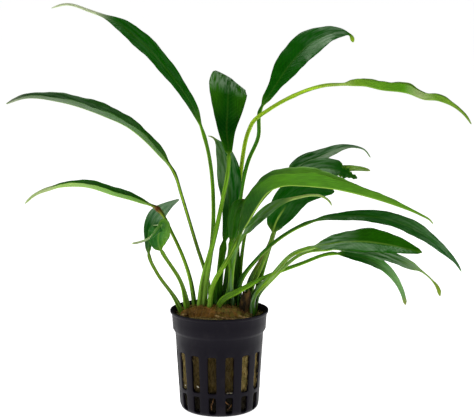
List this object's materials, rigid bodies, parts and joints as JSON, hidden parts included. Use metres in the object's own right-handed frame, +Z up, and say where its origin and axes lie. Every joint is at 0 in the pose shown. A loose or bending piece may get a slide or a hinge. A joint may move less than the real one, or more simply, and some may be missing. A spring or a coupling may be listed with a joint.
{
  "type": "potted anubias",
  "caption": "Narrow-leaved anubias with long arching stalked leaves on creeping rhizomes, in a slotted black net pot filled with rock wool.",
  "frame": {"origin": "centre of the pot's flat underside, on the surface it stands on", "axes": "+Z up along the pot's axis; -Y towards the side shown by the picture, +X to its right, along which the plant is widest"},
  "size_m": [0.2254, 0.1292, 0.2048],
  "materials": {
    "pot": "satin black injection-moulded plastic, slightly blue",
    "growing_medium": "coarse tan and olive rock-wool fibre",
    "rhizome": "ringed olive to reddish-brown creeping stem",
    "root": "pale tan wiry root",
    "dry_sheath": "dry papery brown sheath",
    "mature_leaf": "glossy dark green blade with a pale midrib, on a lighter stalk",
    "young_leaf": "light green satin blade and stalk"
  },
  "bodies": {
    "root": {"pot": "pot", "growing_medium": "growing_medium", "rhizome_front": "rhizome", "rhizome_back": "rhizome", "root_left": "root", "root_front": "root", "root_right": "root", "dry_leaf_base": "dry_sheath", "leaf_tall_left": "mature_leaf", "leaf_long_left": "mature_leaf", "leaf_low_left": "mature_leaf", "leaf_folded_back": "mature_leaf", "leaf_folded_front": "mature_leaf", "leaf_centre_spoon": "mature_leaf", "leaf_centre_back": "mature_leaf", "leaf_upper_right": "mature_leaf", "leaf_long_bright": "young_leaf", "leaf_young": "young_leaf", "leaf_great_right": "young_leaf", "leaf_under_great": "mature_leaf", "leaf_dark_right": "mature_leaf", "leaf_top_back": "mature_leaf", "leaf_ragged_back": "mature_leaf", "leaf_slim_back": "mature_leaf", "leaf_right_arch": "mature_leaf", "leaf_broad_right": "mature_leaf", "leaf_hanging": "mature_leaf", "leaf_far_right": "mature_leaf"}
  },
  "joints": []
}
